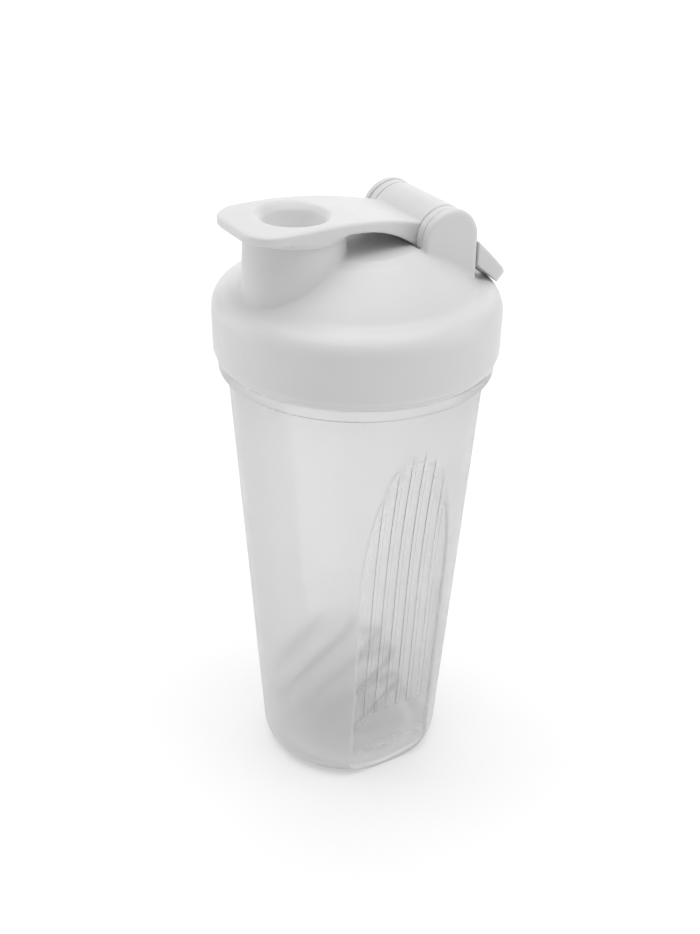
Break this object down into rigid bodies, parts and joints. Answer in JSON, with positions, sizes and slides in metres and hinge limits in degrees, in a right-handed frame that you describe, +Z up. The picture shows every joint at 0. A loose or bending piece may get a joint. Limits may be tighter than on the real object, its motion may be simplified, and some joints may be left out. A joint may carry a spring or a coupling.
{
  "type": "protein shaker bottle",
  "caption": "Tapered translucent shaker cup with ribbed grip panels, a white screw lid with round spout, flip cap, carry loop, and a loose wire whisk ball inside.",
  "frame": {"origin": "centre of the cup's foot, on the plane that it stands on", "axes": "+Z up along the cup's axis; the drinking spout faces -Y, the hinge is on the +Y side with its axis along X, and the ribbed grip panels face +X and -X"},
  "size_m": [0.099, 0.099, 0.2171],
  "materials": {
    "frosted_plastic": "frosted translucent",
    "white_plastic": "satin",
    "silicone": "matt translucent",
    "pin_plastic": "satin",
    "whisk_wire": "bright drawn wire"
  },
  "bodies": {
    "cup": {"cup": "frosted_plastic"},
    "gasket": {"lid_gasket": "silicone"},
    "lid": {"lid": "white_plastic", "hinge_pin": "pin_plastic"},
    "cap": {"flip_cap": "white_plastic", "spout_seal": "silicone"},
    "loop": {"carry_loop": "white_plastic"},
    "whisk": {"whisk_ball": "whisk_wire"}
  },
  "joints": [
    {"name": "lid_lift", "type": "slide", "parent": "cup", "child": "gasket", "axis": [0, 0, 1], "range_m": [0, 0.024]},
    {"name": "lid_turn", "type": "hinge", "parent": "gasket", "child": "lid", "pos_m": [0, 0, 0.1645], "axis": [0, 0, 1], "range_deg": [0, 1080]},
    {"name": "cap_hinge", "type": "hinge", "parent": "lid", "child": "cap", "pos_m": [0, 0.0238, 0.206], "axis": [-1, 0, 0], "range_deg": [0, 100]},
    {"name": "loop_swing", "type": "hinge", "parent": "lid", "child": "loop", "pos_m": [0, 0.0238, 0.206], "axis": [1, 0, 0], "range_deg": [0, 70]},
    {"name": "whisk_travel", "type": "slide", "parent": "cup", "child": "whisk", "axis": [0, 0, 1], "range_m": [0, 0.12]}
  ],
  "couplings": [
    {"joint": "lid_lift", "follows": "lid_turn", "m_per_rad": 0.0012732}
  ]
}
